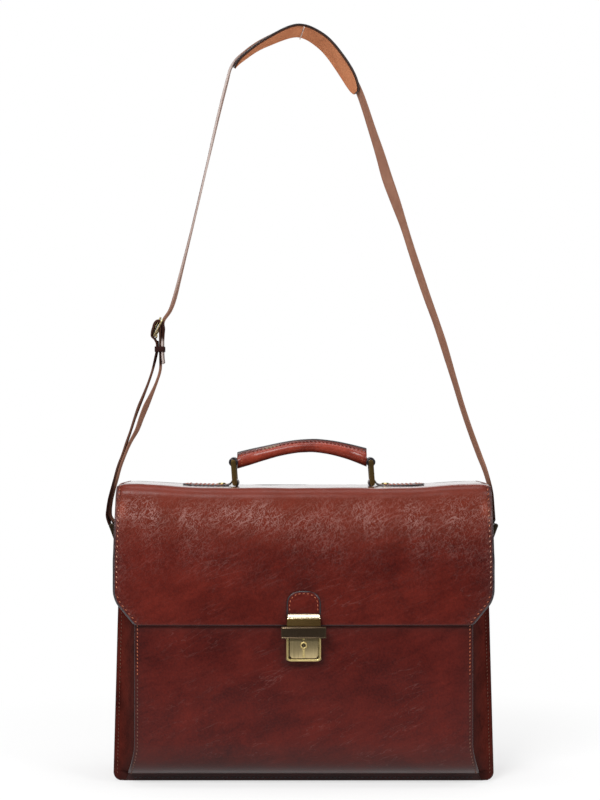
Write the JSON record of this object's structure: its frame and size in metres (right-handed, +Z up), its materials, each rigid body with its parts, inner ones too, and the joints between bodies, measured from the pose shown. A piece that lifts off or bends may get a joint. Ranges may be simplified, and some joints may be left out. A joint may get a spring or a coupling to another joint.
{
  "type": "flap briefcase",
  "caption": "Leather flap briefcase with brass push lock, carrying handle on swinging rings, folding side gussets and adjustable shoulder strap with pad.",
  "frame": {"origin": "middle of the base, on the surface that the case stands on", "axes": "front faces -Y, +X to the right seen from the front, +Z up"},
  "size_m": [0.4398, 0.1742, 0.8368],
  "materials": {
    "hide": "glossy red-brown full-grain leather with painted dark edges",
    "dark_hide": "dark brown leather, satin",
    "lining": "brown suede lining",
    "board": "raw fibreboard and cord",
    "brass": "brushed antique brass",
    "dark_bronze": "dark bronze plating",
    "strap_leather": "tan-brown matte leather"
  },
  "bodies": {
    "case": {"front_panel": "hide", "front_board": "board", "front_lining": "lining", "bevel_left": "hide", "bevel_right": "hide", "divider_panel": "hide", "divider_board": "board", "divider_lining": "lining", "gusset_left": "dark_hide", "gusset_right": "dark_hide", "bottom_panel": "dark_hide", "bottom_board": "board", "back_panel": "hide", "back_board": "board", "back_lining": "lining", "lock_base": "brass", "lock_case": "brass", "lock_face": "brass", "bar_springs": "brass", "lock_inner_plate": "brass", "lock_rivets": "brass", "lug_pivots": "brass"},
    "flap": {"flap_leather": "hide", "flap_board": "board", "flap_lining": "lining", "hasp_tab": "hide", "hasp_plate": "brass", "hasp_rivets": "brass", "handle_tab_left": "hide", "handle_tab_right": "hide", "tab_studs": "brass"},
    "release_bar": {"release_bar": "dark_bronze", "latch_bolt": "brass"},
    "key": {"key_plug": "dark_bronze"},
    "handle_ring_left": {"handle_ring_left": "brass"},
    "handle_ring_right": {"handle_ring_right": "brass"},
    "grip": {"grip_cover": "hide", "grip_core": "board", "grip_loops": "dark_hide"},
    "strap": {"lug_left": "dark_hide", "lug_right": "dark_hide", "lug_studs": "brass", "strap_long": "strap_leather", "strap_short": "dark_hide", "buckle_frame": "brass", "strap_keeper": "dark_hide", "pad_top": "hide", "pad_base": "strap_leather"},
    "side_ring_left": {"side_ring_left": "brass"},
    "side_ring_right": {"side_ring_right": "brass"},
    "buckle_prong": {"buckle_prong": "brass"}
  },
  "joints": [
    {"name": "flap_hinge", "type": "hinge", "parent": "case", "child": "flap", "pos_m": [0, 0.0584, 0.3139], "axis": [-1, 0, 0], "range_deg": [0, 90]},
    {"name": "bar_slide", "type": "slide", "parent": "case", "child": "release_bar", "axis": [0, 0, -1], "range_m": [0, 0.003], "stiffness_N_per_m": 400, "springref_m": -0.002, "deforming": ["bar_springs"]},
    {"name": "key_turn", "type": "hinge", "parent": "case", "child": "key", "pos_m": [0, -0.07, 0.1533], "axis": [0, 1, 0], "range_deg": [0, 90]},
    {"name": "handle_swing", "type": "hinge", "parent": "flap", "child": "handle_ring_left", "pos_m": [-0.07475, 0, 0.3205], "axis": [0, 1, 0], "range_deg": [-50, 58]},
    {"name": "ring_right_swing", "type": "hinge", "parent": "flap", "child": "handle_ring_right", "pos_m": [0.07475, 0, 0.3205], "axis": [0, 1, 0], "range_deg": [-50, 58]},
    {"name": "grip_level", "type": "hinge", "parent": "handle_ring_left", "child": "grip", "pos_m": [-0.07635, 0, 0.34344], "axis": [0, 1, 0], "range_deg": [-58, 50]},
    {"name": "strap_swing", "type": "hinge", "parent": "case", "child": "strap", "pos_m": [0, 0.05, 0.222], "axis": [-1, 0, 0], "range_deg": [0, 110]},
    {"name": "side_ring_left_swing", "type": "hinge", "parent": "strap", "child": "side_ring_left", "pos_m": [-0.208, 0.05, 0.254], "axis": [0, 1, 0], "range_deg": [-3, 3]},
    {"name": "side_ring_right_swing", "type": "hinge", "parent": "strap", "child": "side_ring_right", "pos_m": [0.208, 0.05, 0.254], "axis": [0, 1, 0], "range_deg": [-3, 3]},
    {"name": "prong_swing", "type": "hinge", "parent": "strap", "child": "buckle_prong", "pos_m": [-0.16894, 0.073, 0.48348], "axis": [0, 1, 0], "range_deg": [-80, 0]}
  ],
  "couplings": [
    {"joint": "ring_right_swing", "follows": "handle_swing", "ratio": 1},
    {"joint": "grip_level", "follows": "handle_swing", "ratio": -1}
  ]
}
